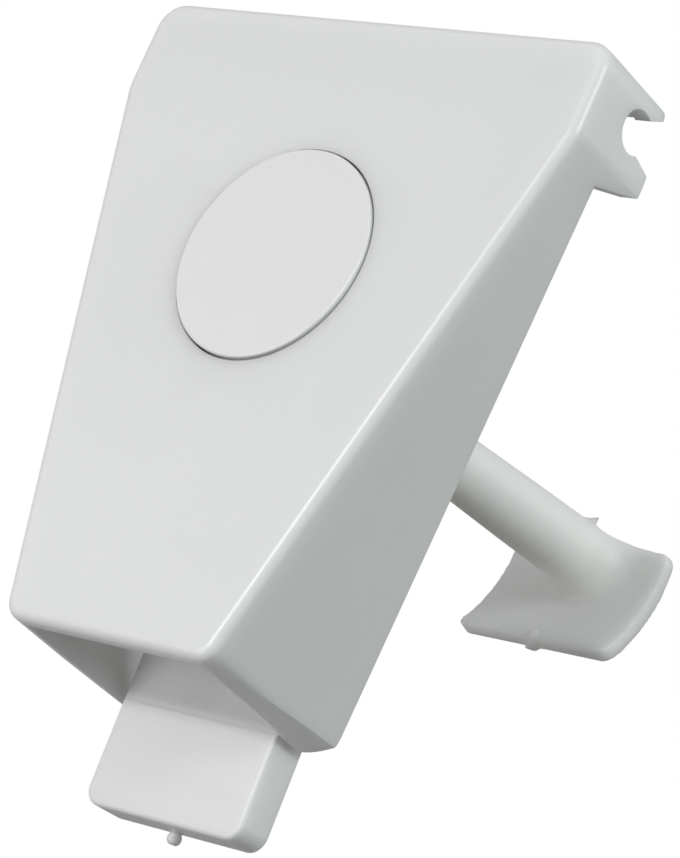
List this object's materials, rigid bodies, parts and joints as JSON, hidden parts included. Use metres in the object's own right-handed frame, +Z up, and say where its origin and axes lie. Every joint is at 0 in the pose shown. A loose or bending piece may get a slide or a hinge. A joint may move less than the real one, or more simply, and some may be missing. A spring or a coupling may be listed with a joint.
{
  "type": "cistern push button",
  "caption": "Wedge-shaped cistern push-button panel: round sprung finger button, rear hooks for a pivot bar, locating tongue and a push rod with a curved shoe.",
  "frame": {"origin": "axis of the pivot bar that the two rear hooks grip, on the centre line of the panel", "axes": "+X to the right along the pivot bar, +Y from the face into the cistern, +Z up the face"},
  "size_m": [0.0804, 0.0858, 0.109],
  "materials": {
    "cover_white": "glossy moulded",
    "button_white": "glossy moulded",
    "tongue_white": "satin moulded",
    "natural_plastic": "natural, slightly translucent, satin",
    "bridge_white": "satin moulded",
    "spring_steel": "drawn wire",
    "screw_steel": "zinc plated"
  },
  "bodies": {
    "panel": {"front_cover": "cover_white", "guide_bridge": "bridge_white", "bridge_screws": "screw_steel", "locating_tongue": "tongue_white", "tongue_screws": "screw_steel", "return_spring": "spring_steel"},
    "button": {"finger_button": "button_white", "push_rod": "natural_plastic"}
  },
  "joints": [
    {"name": "button_press", "type": "slide", "parent": "panel", "child": "button", "axis": [0, 1, 0], "range_m": [0, 0.0065], "stiffness_N_per_m": 300, "springref_m": -0.01, "deforming": ["return_spring"]}
  ]
}
